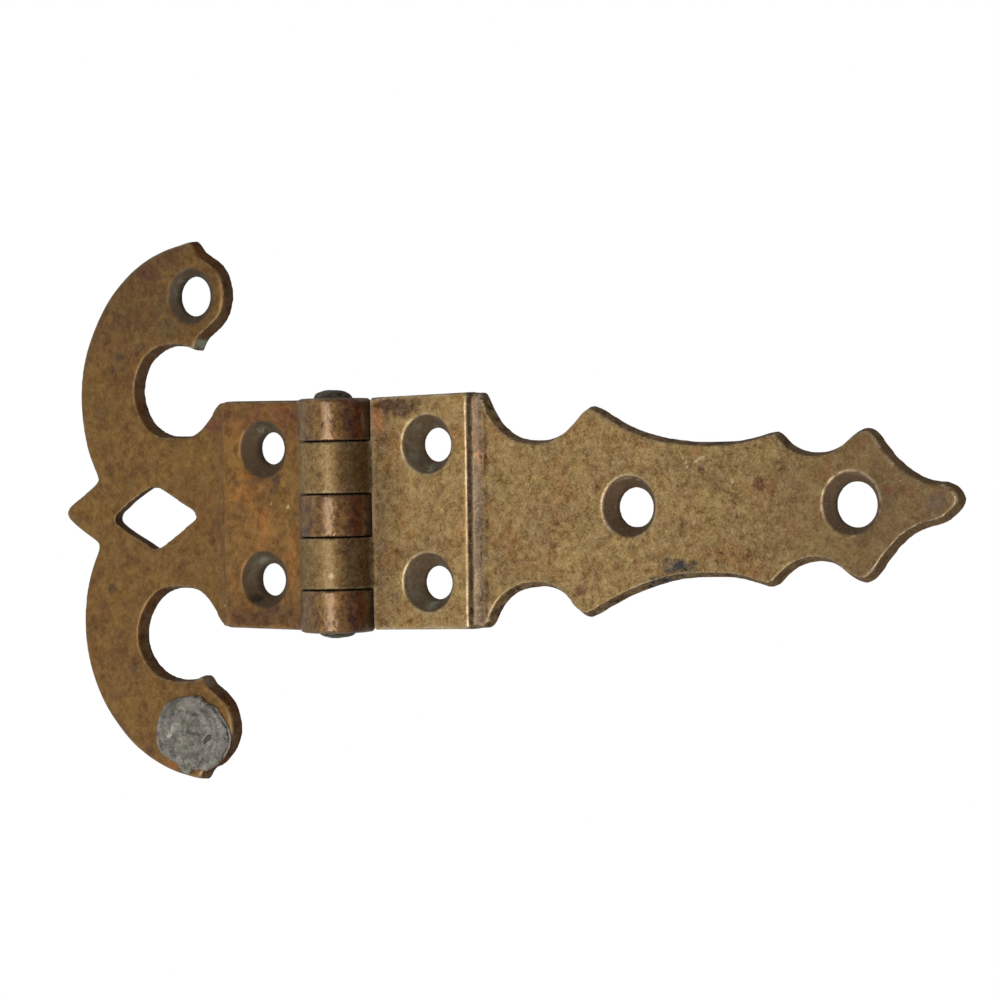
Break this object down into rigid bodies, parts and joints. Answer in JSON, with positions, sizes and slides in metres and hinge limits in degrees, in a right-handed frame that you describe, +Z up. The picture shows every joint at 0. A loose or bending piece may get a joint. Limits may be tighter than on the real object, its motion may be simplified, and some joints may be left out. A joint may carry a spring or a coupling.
{
  "type": "t hinge",
  "caption": "Cast brass T hinge with a scroll-ended frame leaf, a cusped door strap and interleaved knuckles turning on one riveted pin.",
  "frame": {"origin": "on the back (mounting) plane of the frame leaf, straight behind the middle of the pin, on the flat back of the middle knuckle", "axes": "+Z up along the pin, +X from the pin towards the tip of the strap, +Y out of the back of the hinge into the door frame, so the show face looks along -Y"},
  "size_m": [0.1724, 0.0117, 0.0914],
  "materials": {
    "frame_brass": "aged cast brass, warm brown patina with orange stains, satin",
    "strap_brass": "aged cast brass, olive-brown mottled patina, worn arrises, satin",
    "pin_steel": "dark oxidised, hammered heads",
    "grey_filling": "dull grey soft metal, rough and smeared"
  },
  "bodies": {
    "frame_side": {"frame_leaf": "frame_brass", "hinge_pin": "pin_steel", "lead_plug": "grey_filling"},
    "strap_side": {"strap_leaf": "strap_brass"}
  },
  "joints": [
    {"name": "strap_swing", "type": "hinge", "parent": "frame_side", "child": "strap_side", "pos_m": [0, -0.00585, 0], "axis": [0, 0, -1], "range_deg": [-90, 180]}
  ]
}
